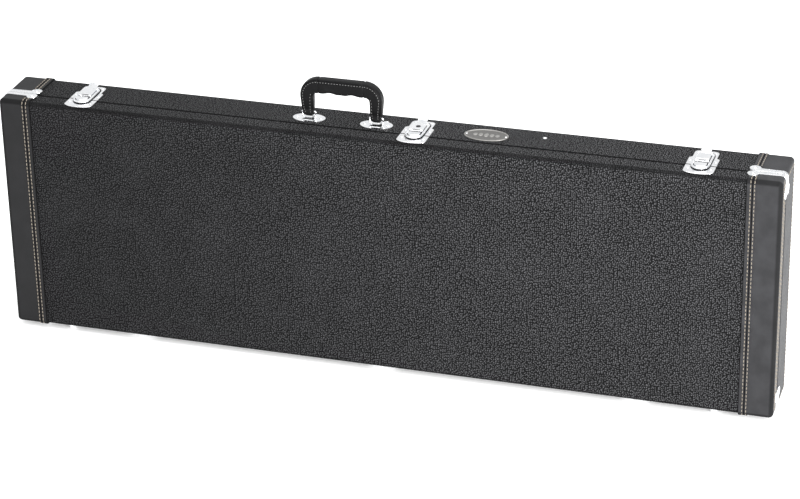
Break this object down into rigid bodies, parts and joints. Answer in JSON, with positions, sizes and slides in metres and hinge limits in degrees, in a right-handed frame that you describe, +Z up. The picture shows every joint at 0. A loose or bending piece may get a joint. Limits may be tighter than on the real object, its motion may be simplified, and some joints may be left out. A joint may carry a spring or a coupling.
{
  "type": "guitar case",
  "caption": "Rectangular hard-shell guitar case: hinged lid, draw latches, padded swinging handle, corner guards, feet, and a plush interior with a neck channel and a pocket.",
  "frame": {"origin": "on the ground under the middle of the case as it stands closed on its feet, level with the middle of its depth", "axes": "+Z up to the handle; +X along the case, towards the end that holds the headstock; the lid faces -Y and the body's back faces +Y"},
  "size_m": [1.2232, 0.1042, 0.4593],
  "materials": {
    "pebbled_vinyl": "black coarse-pebbled vinyl over plywood",
    "smooth_leatherette": "smooth charcoal leatherette with beige stitching",
    "handle_leather": "black padded leatherette, edge-stitched",
    "chrome": "bright plated steel",
    "lock_steel": "dull turned steel",
    "badge_pewter": "dark pewter with a raised rim",
    "plush_lining": "short black plush over foam"
  },
  "bodies": {
    "body": {"accessory_pocket_lid": "plush_lining", "badge": "badge_pewter", "body_back_pad": "plush_lining", "body_back_panel": "pebbled_vinyl", "body_bottom_left_guard": "chrome", "body_bottom_right_guard": "chrome", "body_bottom_wall": "pebbled_vinyl", "body_left_end_cover": "smooth_leatherette", "body_left_wall": "pebbled_vinyl", "body_lower_pad": "plush_lining", "body_right_end_cover": "smooth_leatherette", "body_right_wall": "pebbled_vinyl", "body_top_left_guard": "chrome", "body_top_right_guard": "chrome", "body_top_wall": "pebbled_vinyl", "body_upper_pad": "plush_lining", "foot_rear_left": "chrome", "foot_rear_right": "chrome", "handle_left_plate": "chrome", "handle_right_plate": "chrome", "hinge_left_body_leaf": "chrome", "hinge_left_pin": "chrome", "hinge_middle_body_leaf": "chrome", "hinge_middle_pin": "chrome", "hinge_right_body_leaf": "chrome", "hinge_right_pin": "chrome", "latch_left_base": "chrome", "latch_middle_base": "chrome", "latch_right_base": "chrome", "neck_cradle": "plush_lining"},
    "lid": {"foot_front_left": "chrome", "foot_front_right": "chrome", "hinge_left_lid_leaf": "chrome", "hinge_middle_lid_leaf": "chrome", "hinge_right_lid_leaf": "chrome", "latch_left_strike": "chrome", "latch_middle_strike": "chrome", "latch_right_strike": "chrome", "lid_bottom_left_guard": "chrome", "lid_bottom_right_guard": "chrome", "lid_bottom_wall": "pebbled_vinyl", "lid_front_panel": "pebbled_vinyl", "lid_left_end_cover": "smooth_leatherette", "lid_left_wall": "pebbled_vinyl", "lid_pad": "plush_lining", "lid_right_end_cover": "smooth_leatherette", "lid_right_wall": "pebbled_vinyl", "lid_top_left_guard": "chrome", "lid_top_right_guard": "chrome", "lid_top_wall": "pebbled_vinyl"},
    "latch_left_lever": {"latch_left_lever": "chrome"},
    "latch_left_loop": {"latch_left_loop": "chrome"},
    "latch_middle_lever": {"latch_middle_lever": "chrome"},
    "latch_middle_loop": {"latch_middle_loop": "chrome"},
    "latch_right_lever": {"latch_right_lever": "chrome"},
    "latch_right_loop": {"latch_right_loop": "chrome"},
    "lock_plug": {"lock_plug": "lock_steel"},
    "handle": {"handle_grip": "handle_leather", "handle_left_ring": "chrome", "handle_right_ring": "chrome"}
  },
  "joints": [
    {"name": "lid_hinge", "type": "hinge", "parent": "body", "child": "lid", "pos_m": [0, -0.0185, 0.0053], "axis": [1, 0, 0], "range_deg": [0, 100]},
    {"name": "latch_left_lever_turn", "type": "hinge", "parent": "body", "child": "latch_left_lever", "pos_m": [-0.481, -0.011, 0.3951], "axis": [1, 0, 0], "range_deg": [0, 95]},
    {"name": "latch_left_loop_turn", "type": "hinge", "parent": "latch_left_lever", "child": "latch_left_loop", "pos_m": [-0.481, 0.0155, 0.3947], "axis": [1, 0, 0], "range_deg": [-64, 0]},
    {"name": "latch_middle_lever_turn", "type": "hinge", "parent": "body", "child": "latch_middle_lever", "pos_m": [0.053, -0.011, 0.3951], "axis": [1, 0, 0], "range_deg": [0, 95]},
    {"name": "latch_middle_loop_turn", "type": "hinge", "parent": "latch_middle_lever", "child": "latch_middle_loop", "pos_m": [0.053, 0.0155, 0.3947], "axis": [1, 0, 0], "range_deg": [-64, 0]},
    {"name": "latch_right_lever_turn", "type": "hinge", "parent": "body", "child": "latch_right_lever", "pos_m": [0.485, -0.011, 0.3951], "axis": [1, 0, 0], "range_deg": [0, 95]},
    {"name": "latch_right_loop_turn", "type": "hinge", "parent": "latch_right_lever", "child": "latch_right_loop", "pos_m": [0.485, 0.0155, 0.3947], "axis": [1, 0, 0], "range_deg": [-64, 0]},
    {"name": "lock_plug_turn", "type": "hinge", "parent": "latch_middle_lever", "child": "lock_plug", "pos_m": [0.053, -0.0005, 0.3981], "axis": [0, 0, 1], "range_deg": [0, 90]},
    {"name": "handle_swing", "type": "hinge", "parent": "body", "child": "handle", "pos_m": [-0.067, 0.0025, 0.3945], "axis": [1, 0, 0], "range_deg": [-65, 65]}
  ],
  "couplings": [
    {"joint": "latch_left_loop_turn", "follows": "latch_left_lever_turn", "ratio": -0.6667},
    {"joint": "latch_middle_loop_turn", "follows": "latch_middle_lever_turn", "ratio": -0.6667},
    {"joint": "latch_right_loop_turn", "follows": "latch_right_lever_turn", "ratio": -0.6667}
  ]
}
